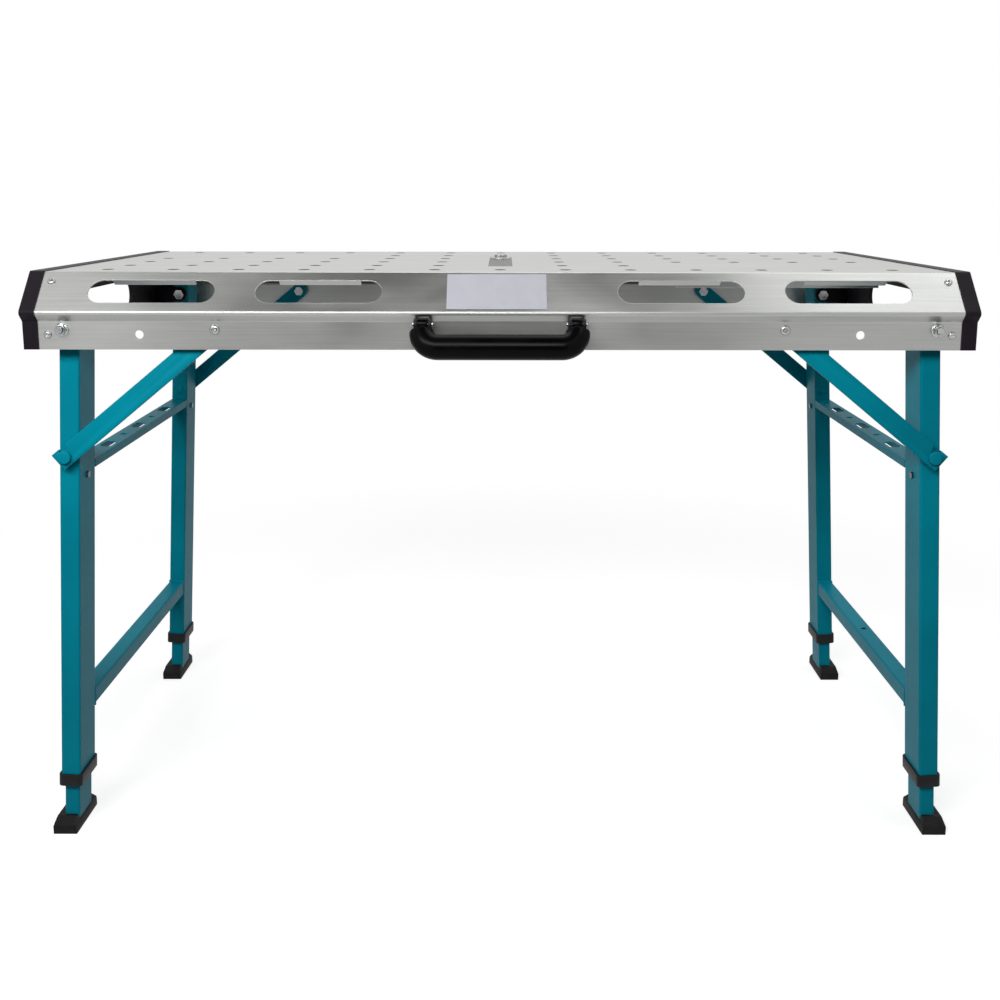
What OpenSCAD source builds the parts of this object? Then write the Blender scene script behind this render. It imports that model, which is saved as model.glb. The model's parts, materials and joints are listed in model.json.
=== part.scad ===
// Folding welding table: a folded sheet-steel top on two leg frames that swing
// up under it. Millimetres. X runs along the table, Y to its rear, floor at Z = 0.

/* [Table top] */
// Length over the end caps
table_l = 1200; // [1120:10:1400]
// Depth over the two ridges of the edge
table_d = 600; // [560:5:700]
// Height of the work surface above the floor
table_h = 770; // [720:5:900]
// Thickness of the steel sheet
sheet_t = 2; // [1.5:0.5:3]
// How far a ridge stands out past the flat work surface
slant_run = 42; // [30:1:50]
// How far a ridge lies below the work surface
slant_drop = 49; // [44:1:54]
// How far the edge steps back in below a ridge
band_in = 10; // [6:1:12]
// Height of the narrow band that steps back in
band_h = 11; // [8:1:12]
// How far the skirt reaches below the work surface
skirt_drop = 96; // [92:1:110]
// Outer radius of the bends in the sheet
bend_r = 4; // [3.5:0.5:6]

/* [Clamp holes] */
// Diameter of the holes in the work surface
hole_d = 16; // [10:0.5:20]
// Distance between the holes, both ways
hole_pitch = 86; // [70:1:88]
// Number of columns of holes, an odd number
hole_cols = 13; // [9:2:13]
// Diameter of the open holes in the skirt
skirt_hole_d = 11; // [6:0.5:14]
// Distance of the open skirt holes from the middle of the table
skirt_hole_x = 454; // [420:1:480]
// How far the open skirt holes lie below the work surface
skirt_hole_drop = 77; // [72:1:82]

/* [Hand slots] */
// Length of a hand slot in the sloping edge
slot_l = 160; // [120:1:180]
// Width of a hand slot along the slope
slot_w = 35; // [28:1:38]
// Distance of the inner hand slots from the middle of the table
slot_in_x = 229; // [200:1:250]
// Distance of the outer hand slots from the middle of the table
slot_out_x = 440; // [420:1:460]
// How far the middle of the slots lies below the work surface
slot_drop = 23.5; // [22:0.5:26]
// Length of the folded lips of a slot
lip_l = 104; // [80:1:120]
// Depth of the folded lips
lip_deep = 10; // [6:0.5:12]

/* [Label] */
// Length of the blank label
label_l = 126; // [80:1:140]
// Width of the blank label along the slope
label_w = 54; // [30:1:56]
// Thickness of the label
label_t = 0.5; // [0.3:0.1:1]
// Distance of the label to the left of the middle
label_off = 4; // [0:1:20]

/* [End caps] */
// Length of table that an end cap covers
cap_w = 19; // [14:1:24]
// How far a cap stands proud of the sheet
cap_proud = 1; // [0.5:0.5:2]
// Wall round the inside of a cap
cap_wall = 6; // [5:0.5:9]
// Thickness of the end wall of a cap
cap_end_t = 5; // [4:0.5:8]
// Length of the hand opening in a cap
grip_l = 200; // [160:5:240]
// Height of the hand opening
grip_h = 46; // [36:1:48]
// How far the middle of the hand opening lies below the work surface
grip_drop = 60; // [56:1:62]
// How far the collar inside the sheet runs on past the cap screws
spigot_past = 8; // [5:1:10]
// Thickness of that collar
spigot_t = 3.5; // [3:0.5:5]
// Thickness of the arms that carry the leg pivots
arm_t = 6; // [5:0.5:8]
// Radius of the round end of an arm
arm_r = 12; // [10:0.5:14]

/* [Leg frames] */
// Distance of the leg pivots in from the ends of the table
pivot_in = 49; // [46:1:60]
// How far the leg and brace pivots lie below the work surface
pivot_drop = 70.5; // [68:0.5:73]
// Outward splay of the legs, in degrees
splay = 3.4; // [0:0.1:5]
// Width of a leg tube along the table
leg_w = 26; // [24:0.5:28]
// Depth of a leg tube across the table
leg_d = 56; // [52:1:62]
// Wall of the leg tubes
leg_wall = 1.5; // [1:0.1:2]
// Outer corner radius of the leg tubes
leg_r = 3; // [2:0.5:4]
// How far a leg tube runs up past its pivot
leg_top = 20; // [16:1:21]
// Space between the skirt and a leg, where the brace lies
brace_space = 20; // [19:0.5:24]
// Height of the underside of the leg collars above the floor
collar_z = 67; // [55:1:90]
// Height of a collar
collar_h = 17; // [12:1:24]
// How far a collar stands out round the tube
collar_t = 3; // [2:0.5:4]
// Height of the middle of the lower crossbar above the floor
crossbar_z = 171; // [140:1:260]
// Width and height of the lower crossbar
crossbar_w = 25; // [20:0.5:26]
// Diameter of the hole in the right crossbar
crossbar_hole_d = 8; // [5:0.5:12]
// Distance along the leg from its pivot to the top of the tool bar
tool_bar_down = 185; // [180:1:240]
// Height of the tool bar
tool_bar_h = 12; // [10:1:20]
// Sheet thickness of the tool bar
tool_bar_t = 2; // [1.5:0.5:2.5]
// Distance between neighbouring openings of the tool bar
tool_pitch = 64; // [50:1:66]
// Length of the long openings of the tool bar
tool_slot_l = 36; // [20:1:44]
// Width of the long openings
tool_slot_w = 15; // [10:0.5:17]
// Diameter of the small holes of the tool bar
tool_hole_d = 10; // [6:0.5:14]

/* [Braces] */
// Distance from a leg pivot to its brace pivot
brace_span = 192; // [188:1:220]
// Distance along the leg from its pivot to the brace pin
pin_down = 167; // [140:1:168]
// Width of a brace
brace_w = 25; // [20:0.5:26]
// Thickness of a brace
brace_t = 6; // [4:0.5:7]
// How far a brace runs on past its pin
brace_over = 13; // [12:0.5:18]
// Diameter of a brace pin
pin_d = 10; // [8:0.5:11]
// Diameter of the head of a brace pin
pin_head_d = 16.5; // [14:0.5:18]
// Clearance of the pin in the open slot of the brace
pin_slot_gap = 1; // [0.8:0.1:1.5]

/* [Pivot fasteners] */
// Diameter of the leg pivot bolts
leg_bolt_d = 8; // [8:0.5:12]
// Diameter of the brace pivot screws
brace_bolt_d = 8; // [6:0.5:9]
// Diameter of the head of a brace pivot screw
brace_head_d = 12.5; // [11:0.5:15]
// Radial clearance of a pivot in its bore
run_gap = 0.08; // [0.03:0.01:0.1]
// Clearance between flat faces that move past each other
side_gap = 0.3; // [0.2:0.05:0.5]

/* [Inner legs] */
// Width of an inner leg tube
inner_w = 20; // [16:0.5:21]
// Depth of an inner leg tube
inner_d = 46; // [40:1:48]
// Wall of the inner leg tubes
inner_wall = 1.5; // [1:0.1:2]
// Distance along the leg from its pivot to the stop screw
stop_down = 200; // [195:1:260]
// Diameter of a stop screw
stop_d = 5; // [4:0.5:6]
// Length of the slide shoe at the top of an inner leg
shoe_l = 30; // [20:1:50]
// Clearance of the sliding pieces
slide_gap = 0.3; // [0.2:0.05:0.5]

/* [Feet] */
// Width of the sole of a foot
foot_w = 32; // [28:1:40]
// Length of the sole of a foot
foot_l = 74; // [66:1:90]
// Height of a foot
foot_h = 22; // [20:1:30]
// Thickness of a foot under the tube
foot_floor = 8; // [5:1:12]
// How far a foot stands out from the middle of its leg
foot_out = 4; // [2:0.5:5]

/* [Carrying handle] */
// Distance between the middles of the two handle arms
handle_span = 192; // [140:2:260]
// Diameter of the grip
handle_d = 32; // [26:0.5:33]
// Distance from the hinge to the middle of the grip
handle_reach = 33.5; // [33:0.5:40]
// Middle radius of the corners of the handle
handle_bend = 20; // [18:0.5:24]
// How far the handle leans out from hanging straight down, in degrees
handle_lean = 40; // [32:1:60]
// How far the handle hinge stands out from the skirt
hinge_out = 14; // [13:0.5:18]
// How far the handle hinge lies below the work surface
hinge_drop = 62; // [61:0.5:66]
// Diameter of the hinge pins of the handle
hinge_pin_d = 5; // [4:0.5:6]

/* [Guide edges] */
// Thickness of a guide strip
guide_t = 3; // [2:0.5:5]
// Height of a guide strip
guide_h = 28; // [24:1:40]
// How far a lowered guide strip stands proud
guide_proud = 0; // [0:0.5:2]

/* [Earth bar] */
// Width of the flush pad of the earth bar
pad_w = 33; // [20:1:40]
// Length of the flush pad
pad_l = 236; // [160:2:240]
// Thickness of the earth bar under the sheet
bar_t = 3; // [2:0.5:6]
// Diameter of the earth bolt
earth_bolt_d = 10; // [8:0.5:12]
// Diameter of the washer under the head of the earth bolt
earth_washer_d = 31; // [24:0.5:32]
// Width across flats of that head
earth_head_w = 17; // [16:0.5:19]

/* [Hidden] */

$fn = 48;
bend_steps = 4;
least_bend_r = 0.5;
past = 1;

steel = "silver";
zinc = "gainsboro";
teal = [0.02, 0.52, 0.60];
black = [0.10, 0.10, 0.11];

// Places across the table
skirt_y = table_d / 2 - band_in;
skirt_in_y = skirt_y - sheet_t;
brace_side = (brace_space - brace_t) / 2;
brace_y = skirt_in_y - brace_space / 2;
leg_out_y = skirt_in_y - brace_space;
leg_in_y = leg_out_y - leg_d;
leg_y = (leg_out_y + leg_in_y) / 2;
arm_y = leg_in_y - side_gap;

// Places along the table
sheet_l = table_l - 2 * cap_w;
pivot_x = table_l / 2 - pivot_in;
brace_x = pivot_x - brace_span;

// Heights
pivot_z = table_h - pivot_drop;

// Places along a leg, measured down from its pivot
collar_end = (pivot_z - collar_z) / cos(splay);
collar_floor = 2;
leg_end = collar_end - collar_floor;
inner_end = (pivot_z - foot_floor) / cos(splay);
shoe_top = stop_down + stop_d / 2 + side_gap;
shoe_cap = 4;
crossbar_down = (pivot_z - crossbar_z) / cos(splay);

// Length, slope and fold of a brace
pin_from_leg = pin_down * [sin(splay), -cos(splay)];
pin_from_brace = [brace_span, 0] + pin_from_leg;
brace_len = norm(pin_from_brace);
brace_slope = atan2(-pin_from_brace[1], pin_from_brace[0]);
fold_ratio = (180 - brace_slope) / (90 + splay);
pin_path = clockwise(pin_from_leg) - fold_ratio * clockwise(pin_from_brace);
slot_lean = brace_slope - atan2(pin_path[0], pin_path[1]);

// Sizes of the small fasteners
cap_screw_d = 5;
cap_screw_head_d = 9.5;
cap_screw_head_t = 3;
cap_screw_in = 31;
low_screw_drop = 77;
high_screw_drop = 12;
fit_gap = 0.1;
washer_t = 1.5;
leg_head_w = 15;
leg_head_t = 6;
leg_flange_d = 17;
leg_nut_t = 6;
stud_past = 2;
brace_head_t = 3.5;
brace_nut_w = 14;
sleeve_wall = 3;
spacer_d = leg_bolt_d + 2 * sleeve_wall;
pin_shoulder_d = 16;
pin_rivet_d = 13;
pin_rivet_t = 2;
skirt_clear = 1;
stop_head_d = 9;
stop_head_t = 2.5;
stop_reach = 8;
lug_w = 13;
lug_r = 8;
cheek_gap = 0.5;
cheek_t = 4;
cheek_r = 7;
cheek_low = 16;
bracket_base_t = 3;
bracket_screw_d = 4;
bracket_screw_head_d = 7.5;
bracket_screw_head_t = 2.5;
bracket_screw_drops = [4, 12];
guide_cols = 4;
channel_wall = 2;
channel_flange = 10;
channel_end = 4;
bar_margin = 10;
earth_washer_t = 1.6;
earth_head_t = 5;
earth_nut_w = 17;
earth_nut_t = 8;
sole_edge = 11;
foot_top_in = 3;
foot_toe = 13;
foot_toe_in = 9;
collar_r = leg_r + collar_t;

function unit(v) = v / norm(v);
function left_of(v) = [-v[1], v[0]];
function clockwise(v) = [v[1], -v[0]];
function wedge(a, b) = a[0] * b[1] - a[1] * b[0];
function backwards(list) = [for (i = [len(list) - 1:-1:0]) list[i]];

// Corners of the folded edge, (Y, Z) from the middle of the work surface
edge = [
    [-skirt_y, -skirt_drop],
    [-skirt_y, -slant_drop - band_h],
    [-table_d / 2, -slant_drop],
    [slant_run - table_d / 2, 0],
    [table_d / 2 - slant_run, 0],
    [table_d / 2, -slant_drop],
    [skirt_y, -slant_drop - band_h],
    [skirt_y, -skirt_drop],
];
edge_last = len(edge) - 1;
slope = atan2(slant_drop, slant_run);

// Points of the bend at corner q, between corners p and r, moved outward by out
function bend(p, q, r, out) =
    let (
        n1 = left_of(unit(q - p)),
        n2 = left_of(unit(r - q)),
        radius = wedge(n1, n2) < 0
            ? max(bend_r, least_bend_r - out)
            : min(sheet_t - bend_r, -least_bend_r - out),
        middle = q - (n1 + n2) * radius / (1 + n1 * n2),
        first = atan2(n1[1], n1[0]),
        sweep = atan2(wedge(n1, n2), n1 * n2)
    )
    [for (i = [0:bend_steps])
        let (a = first + sweep * i / bend_steps)
        middle + (radius + out) * [cos(a), sin(a)]];

// The whole edge line, moved outward by out
function edge_line(out) = concat(
    [edge[0] + out * [-1, 0]],
    [for (i = [1:edge_last - 1]) each bend(edge[i - 1], edge[i], edge[i + 1], out)],
    [edge[edge_last] + out * [1, 0]]
);

// The whole table is moved so that its origin lies under the middle of its box
handle_front = skirt_y + hinge_out + handle_reach * sin(handle_lean) + handle_d / 2;
cap_reach = max([for (p = edge_line(cap_proud)) p[0]]);
middle_shift = (handle_front - cap_reach) / 2;

// Puts the middle of the table's box over the origin
module seated() {
    translate([0, middle_shift, 0]) children();
}

// Puts a piece drawn for the front right corner at another corner
module at_corner(side, end) {
    seated() mirror([side < 0 ? 1 : 0, 0, 0]) mirror([0, end > 0 ? 1 : 0, 0]) children();
}

module each_corner() {
    for (side = [-1, 1], end = [-1, 1]) at_corner(side, end) children();
}

// Carries a leg frame's own axes, pivot at the origin, to the right end
module on_right_leg() {
    translate([pivot_x, 0, pivot_z]) rotate([0, -splay, 0]) children();
}

// Draws an outline given as (Y, Z) along X, from x0 to x1
module along_x(x0, x1) {
    translate([x0, 0, 0]) rotate([90, 0, 90]) linear_extrude(x1 - x0) children();
}

// A round rod along Y
module rod_y(d, y0, y1) {
    translate([0, y0, 0]) rotate([-90, 0, 0]) cylinder(d = d, h = y1 - y0);
}

// A hexagon bar along Y, measured across its flats
module hex_y(across, y0, y1) {
    translate([0, y0, 0]) rotate([-90, 0, 0]) cylinder(d = across / cos(30), h = y1 - y0, $fn = 6);
}

module round_rect(w, d, r) {
    square([w - 2 * r, d], center = true);
    square([w, d - 2 * r], center = true);
    for (x = [-1, 1], y = [-1, 1])
        translate([x * (w / 2 - r), y * (d / 2 - r)]) circle(r = r);
}

module obround(l, w) {
    square([l - w, w], center = true);
    for (x = [-1, 1]) translate([x * (l - w) / 2, 0]) circle(d = w);
}

// Places a piece on the front slope: X along it, Y up it, Z out of it
module on_slope(x, drop) {
    translate([x, drop * slant_run / slant_drop * -1 + slant_run - table_d / 2, table_h - drop])
        rotate([slope, 0, 0]) children();
}

module both_edges() {
    children();
    mirror([0, 1, 0]) children();
}

// The folded steel top

function is_clamp_hole(col, row) =
    let (mid = (hole_cols - 1) / 2)
    !(col == mid && row > 0 && row < 5)
    && !(row == 4 && col < guide_cols)
    && !(row == 1 && col >= hole_cols - guide_cols);

function row_y(row) = (row - 2.5) * hole_pitch;
function col_x(col) = (col - (hole_cols - 1) / 2) * hole_pitch;

guide_l = (guide_cols - 1) * hole_pitch + hole_d;
guide_x = (hole_cols - guide_cols) / 2 * hole_pitch;
guide_y = row_y(4);
pad_y = (row_y(1) + row_y(3)) / 2 + hole_pitch * 0.2;
earth_y = row_y(3);

module clamp_holes() {
    for (col = [0:hole_cols - 1], row = [0:5])
        if (is_clamp_hole(col, row))
            translate([col_x(col), row_y(row), table_h - sheet_t - past])
                cylinder(d = hole_d, h = sheet_t + 2 * past);
}

module hand_slots() {
    for (side = [-1, 1], x = [slot_in_x, slot_out_x])
        on_slope(side * x, slot_drop)
            translate([0, 0, -sheet_t - past]) linear_extrude(sheet_t + 2 * past) obround(slot_l, slot_w);
}

module slot_lips() {
    for (side = [-1, 1], x = [slot_in_x, slot_out_x], up = [-1, 1])
        on_slope(side * x, slot_drop)
            translate([-lip_l / 2, up > 0 ? slot_w / 2 : -slot_w / 2 - sheet_t, -lip_deep])
                cube([lip_l, sheet_t, lip_deep]);
}

module cap_screw_places() {
    translate([table_l / 2 - cap_screw_in, -skirt_y, table_h - low_screw_drop]) rotate([90, 0, 0]) children();
    on_slope(table_l / 2 - cap_screw_in, high_screw_drop) children();
}

module deck_sheet() {
    color(steel) seated() difference() {
        union() {
            translate([0, 0, table_h]) along_x(-sheet_l / 2, sheet_l / 2)
                polygon(concat(edge_line(0), backwards(edge_line(-sheet_t))));
            both_edges() slot_lips();
        }
        clamp_holes();
        both_edges() hand_slots();
        for (side = [-1, 1]) {
            translate([side * guide_x - guide_l / 2 - 1, -side * guide_y - guide_t / 2 - 0.5,
                       table_h - sheet_t - past])
                cube([guide_l + 2, guide_t + 1, sheet_t + 2 * past]);
            for (end = [-1, 1]) {
                translate([side * skirt_hole_x, 0, table_h - skirt_hole_drop])
                    rod_y(skirt_hole_d, end * skirt_y - 2 * sheet_t, end * skirt_y + 2 * sheet_t);
                translate([side * pivot_x, 0, pivot_z])
                    rod_y(leg_bolt_d + 2 * fit_gap, end * skirt_y - 2 * sheet_t, end * skirt_y + 2 * sheet_t);
                translate([side * brace_x, 0, pivot_z])
                    rod_y(brace_bolt_d + 2 * fit_gap, end * skirt_y - 2 * sheet_t, end * skirt_y + 2 * sheet_t);
            }
            mirror([side < 0 ? 1 : 0, 0, 0]) both_edges() cap_screw_places()
                translate([0, 0, -sheet_t - past])
                    cylinder(d = cap_screw_d + 2 * fit_gap, h = sheet_t + 2 * past);
            for (drop = bracket_screw_drops)
                translate([side * handle_span / 2, 0, table_h - hinge_drop - drop])
                    rod_y(bracket_screw_d + 2 * fit_gap, -skirt_y - past, -skirt_in_y + past);
        }
        translate([-pad_w / 2 - 0.3, pad_y - pad_l / 2 - 0.3, table_h - sheet_t - past])
            cube([pad_w + 0.6, pad_l + 0.6, sheet_t + 2 * past]);
    }
}

// A moulded end cap, drawn for the right end
module end_cap(side) {
    cap_in = table_l / 2 - cap_w;
    color(black) at_corner(side, -1) difference() {
        union() {
            difference() {
                translate([0, 0, table_h]) along_x(cap_in, table_l / 2) polygon(edge_line(cap_proud));
                translate([0, 0, table_h]) along_x(cap_in - past, table_l / 2 - cap_end_t)
                    intersection() {
                        polygon(edge_line(-cap_wall));
                        translate([-table_d / 2, cap_wall - skirt_drop]) square([table_d, skirt_drop]);
                    }
            }
            translate([0, 0, table_h])
                along_x(table_l / 2 - cap_screw_in - spigot_past, cap_in + past)
                polygon(concat(edge_line(-sheet_t - fit_gap),
                               backwards(edge_line(-sheet_t - spigot_t))));
            for (end = [-1, 1]) mirror([0, end > 0 ? 1 : 0, 0]) translate([0, -arm_y, pivot_z]) {
                translate([pivot_x, 0, 0]) rod_y(2 * arm_r, 0, arm_t);
                translate([pivot_x, 0, -arm_r])
                    cube([table_l / 2 - cap_end_t / 2 - pivot_x, arm_t, 2 * arm_r]);
            }
        }
        along_x(table_l / 2 - cap_end_t - past, table_l / 2 + past)
            translate([0, table_h - grip_drop]) obround(grip_l, grip_h);
        translate([pivot_x, 0, pivot_z])
            rod_y(leg_bolt_d + 2 * fit_gap, -leg_y, leg_y);
        both_edges() {
            translate([pivot_x, 0, pivot_z]) rod_y(spacer_d + 2 * side_gap, -skirt_y, -leg_out_y);
            cap_screw_places() translate([0, 0, -sheet_t - spigot_t - past])
                cylinder(d = cap_screw_d + 2 * fit_gap, h = sheet_t + spigot_t + 2 * past);
        }
    }
}

module cap_screws() {
    color(zinc) each_corner() cap_screw_places() {
        cylinder(d = cap_screw_head_d, h = cap_screw_head_t);
        translate([0, 0, -sheet_t - spigot_t - washer_t])
            cylinder(d = cap_screw_d, h = sheet_t + spigot_t + washer_t + past);
    }
}

module label_plate() {
    color("white") seated() on_slope(-label_off, slot_drop)
        translate([-label_l / 2, -label_w / 2, 0]) cube([label_l, label_w, label_t]);
}

// The earth bar: a strip under the sheet with a pad that comes up flush
module earth_bar() {
    bar_l = pad_l + 2 * bar_margin;
    color("darkgray") seated() difference() {
        union() {
            translate([-pad_w / 2, pad_y - pad_l / 2, table_h - sheet_t - past])
                cube([pad_w, pad_l, sheet_t + past]);
            translate([-pad_w / 2 - bar_margin / 2, pad_y - pad_l / 2 - bar_margin, table_h - sheet_t - bar_t])
                cube([pad_w + bar_margin, bar_l, bar_t]);
        }
        translate([0, earth_y, table_h - sheet_t - bar_t - past])
            cylinder(d = earth_bolt_d + 2 * fit_gap, h = sheet_t + bar_t + 2 * past);
    }
}

// Its washer rests on the pad and stays on the bolt
module earth_bolt() {
    color(zinc) seated() translate([0, earth_y, table_h]) {
        cylinder(d = min(earth_washer_d, pad_w - 1), h = earth_washer_t);
        cylinder(d = earth_head_w / cos(30), h = earth_washer_t + earth_head_t, $fn = 6);
        translate([0, 0, -sheet_t - bar_t - earth_nut_t - stud_past])
            cylinder(d = earth_bolt_d, h = sheet_t + bar_t + earth_nut_t + stud_past + past);
    }
}

module earth_nut() {
    color(zinc) seated() translate([0, earth_y, table_h - sheet_t - bar_t - earth_nut_t]) difference() {
        cylinder(d = earth_nut_w / cos(30), h = earth_nut_t, $fn = 6);
        translate([0, 0, -past]) cylinder(d = earth_bolt_d + 2 * fit_gap, h = earth_nut_t + 2 * past);
    }
}

// The folded channel that holds a guide strip under the sheet
module guide_channel(side) {
    inside = guide_t + 2 * slide_gap;
    floor_z = table_h + guide_proud - guide_h - side_gap;
    color(zinc) seated() translate([side * guide_x, -side * guide_y, 0]) difference() {
        union() {
            translate([-guide_l / 2 - channel_end, -inside / 2 - channel_wall, floor_z - channel_wall])
                cube([guide_l + 2 * channel_end, inside + 2 * channel_wall,
                      table_h - sheet_t - floor_z + channel_wall]);
            translate([-guide_l / 2 - channel_end, -inside / 2 - channel_flange,
                       table_h - sheet_t - channel_wall])
                cube([guide_l + 2 * channel_end, inside + 2 * channel_flange, channel_wall]);
        }
        translate([-guide_l / 2 - channel_end - past, -inside / 2, floor_z])
            cube([guide_l + 2 * channel_end + 2 * past, inside, table_h]);
    }
}

module guide_strip(side) {
    color(zinc) seated()
        translate([side * guide_x - guide_l / 2, -side * guide_y - guide_t / 2,
                   table_h + guide_proud - guide_h])
            cube([guide_l, guide_t, guide_h]);
}

// Leg pivots: a bolt through the cap arm, the leg, a sleeve and the skirt

module leg_pivot_bolts() {
    color(zinc) each_corner() translate([pivot_x, 0, pivot_z]) {
        rod_y(leg_bolt_d, -skirt_y - washer_t - leg_nut_t - stud_past, -arm_y + arm_t + past);
        hex_y(leg_head_w, -arm_y + arm_t, -arm_y + arm_t + leg_head_t);
    }
}

module leg_pivot_nuts() {
    color(zinc) each_corner() translate([pivot_x, 0, pivot_z]) difference() {
        union() {
            rod_y(leg_flange_d, -skirt_y - washer_t, -skirt_y);
            hex_y(leg_head_w - 2, -skirt_y - washer_t - leg_nut_t, -skirt_y - washer_t / 2);
        }
        rod_y(leg_bolt_d + 2 * fit_gap, -skirt_y - 2 * leg_nut_t, -skirt_y + past);
    }
}

module leg_pivot_spacers() {
    color(zinc) each_corner() translate([pivot_x, 0, pivot_z]) difference() {
        rod_y(spacer_d, -skirt_in_y, -leg_out_y - side_gap);
        rod_y(leg_bolt_d + 2 * fit_gap, -skirt_y, -leg_out_y + past);
    }
}

// Brace pivots: a screw through the skirt, a sleeve and the brace, with a nut

module brace_pivot_screws() {
    color(zinc) each_corner() translate([brace_x, 0, pivot_z]) {
        rod_y(brace_head_d, -skirt_y - brace_head_t, -skirt_y);
        rod_y(brace_bolt_d, -skirt_y - past, -leg_out_y - skirt_clear);
    }
}

module brace_pivot_spacers() {
    color(zinc) each_corner() translate([brace_x, 0, pivot_z]) difference() {
        rod_y(brace_bolt_d + 2 * sleeve_wall, -skirt_in_y, -skirt_in_y + brace_side - side_gap);
        rod_y(brace_bolt_d + 2 * fit_gap, -skirt_y, -leg_out_y);
    }
}

module brace_pivot_nuts() {
    color(zinc) each_corner() translate([brace_x, 0, pivot_z]) difference() {
        hex_y(brace_nut_w, -leg_out_y - brace_side + side_gap, -leg_out_y - skirt_clear);
        rod_y(brace_bolt_d + 2 * fit_gap, -skirt_y, -leg_out_y);
    }
}

// Leg frames: two tubes, a lower crossbar and a slotted tool bar, welded

module leg_tube(side, end) {
    color(teal) at_corner(side, end) on_right_leg() translate([0, -leg_y, 0]) difference() {
        translate([0, 0, -leg_end]) linear_extrude(leg_end + leg_top) difference() {
            round_rect(leg_w, leg_d, leg_r);
            round_rect(leg_w - 2 * leg_wall, leg_d - 2 * leg_wall, leg_r - leg_wall);
        }
        rod_y(leg_bolt_d + 2 * run_gap, -leg_d, leg_d);
        translate([0, 0, -pin_down]) rod_y(pin_d + 2 * fit_gap, -leg_d, leg_d);
        translate([-leg_w, 0, -stop_down]) rotate([0, 90, 0]) cylinder(d = stop_d + 2 * fit_gap, h = leg_w);
    }
}

module crossbar(side) {
    wall = leg_wall;
    color(teal) at_corner(side, -1) on_right_leg() difference() {
        translate([0, leg_in_y, -crossbar_down]) rotate([90, 0, 0]) linear_extrude(2 * leg_in_y) difference() {
            round_rect(crossbar_w, crossbar_w, leg_r);
            round_rect(crossbar_w - 2 * wall, crossbar_w - 2 * wall, leg_r - wall);
        }
        if (side > 0)
            translate([0, 0, -crossbar_down]) cylinder(d = crossbar_hole_d, h = crossbar_w);
    }
}

module tool_bar(side) {
    color(teal) at_corner(side, -1) on_right_leg() translate([0, 0, -tool_bar_down]) difference() {
        translate([-leg_w / 2, -leg_in_y, -tool_bar_h]) cube([leg_w, 2 * leg_in_y, tool_bar_h]);
        translate([tool_bar_t - leg_w / 2, -leg_in_y - past, -tool_bar_h - past])
            cube([leg_w - 2 * tool_bar_t, 2 * leg_in_y + 2 * past, tool_bar_h + past - tool_bar_t]);
        for (i = [-1:1]) translate([0, 2 * i * tool_pitch, -tool_bar_t - past])
            linear_extrude(tool_bar_t + 2 * past) rotate(90) obround(tool_slot_l, tool_slot_w);
        for (i = [-3:2:3]) translate([0, i * tool_pitch, -tool_bar_t - past])
            cylinder(d = tool_hole_d, h = tool_bar_t + 2 * past);
    }
}

module leg_collars(side) {
    color(black) for (end = [-1, 1]) at_corner(side, end) on_right_leg()
        translate([0, -leg_y, -collar_end]) difference() {
            linear_extrude(collar_h) round_rect(leg_w + 2 * collar_t, leg_d + 2 * collar_t, collar_r);
            translate([0, 0, collar_floor]) linear_extrude(collar_h)
                round_rect(leg_w + 2 * fit_gap, leg_d + 2 * fit_gap, leg_r);
            translate([0, 0, -past]) linear_extrude(collar_h)
                round_rect(inner_w + 2 * slide_gap, inner_d + 2 * slide_gap, leg_r);
        }
}

// Headed pins that the braces hook on to
module brace_pins(side) {
    back = -leg_out_y - brace_side;
    color(teal) for (end = [-1, 1]) at_corner(side, end) on_right_leg() translate([0, 0, -pin_down]) {
        rod_y(pin_d, back - brace_t - side_gap - past, -leg_in_y + pin_rivet_t);
        rod_y(pin_head_d, -skirt_in_y + skirt_clear, back - brace_t - side_gap);
        rod_y(pin_shoulder_d, back + side_gap, -leg_out_y);
        rod_y(pin_rivet_d, -leg_in_y, -leg_in_y + pin_rivet_t);
    }
}

// Screws that stop the inner legs at their shortest
module stop_screws(side) {
    color(zinc) for (end = [-1, 1]) at_corner(side, end) on_right_leg()
        translate([-leg_w / 2, -leg_y, -stop_down]) rotate([0, 90, 0]) {
            translate([0, 0, -stop_head_t]) cylinder(d = stop_head_d, h = stop_head_t);
            translate([0, 0, -past]) cylinder(d = stop_d, h = stop_reach + past);
        }
}

// A flat brace, pinned to the skirt, with a slot that opens at its upper edge
module brace_outline() {
    slot_r = pin_d / 2 + pin_slot_gap;
    slot_end = [for (a = [180:15:360]) slot_r * [cos(a), sin(a)]];
    difference() {
        union() {
            circle(d = brace_w);
            translate([0, -brace_w / 2]) square([brace_len + brace_over, brace_w]);
        }
        circle(d = brace_bolt_d + 2 * run_gap);
        translate([brace_len, 0]) rotate(slot_lean)
            polygon(concat(slot_end, [[slot_r, brace_w], [-slot_r, brace_w]]));
    }
}

module brace(side, end) {
    color(teal) at_corner(side, end) translate([brace_x, -brace_y, pivot_z])
        rotate([0, brace_slope, 0]) rotate([90, 0, 0]) linear_extrude(brace_t, center = true) brace_outline();
}

// Inner legs, which slide out of the leg tubes

module inner_leg_outline() {
    round_rect(inner_w, inner_d, leg_r);
}

module inner_leg(side, end) {
    inner_top = shoe_top + shoe_cap;
    color(teal) at_corner(side, end) on_right_leg() translate([0, -leg_y, -inner_end])
        linear_extrude(inner_end - inner_top) difference() {
            inner_leg_outline();
            round_rect(inner_w - 2 * inner_wall, inner_d - 2 * inner_wall, leg_r - inner_wall);
        }
}

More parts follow.
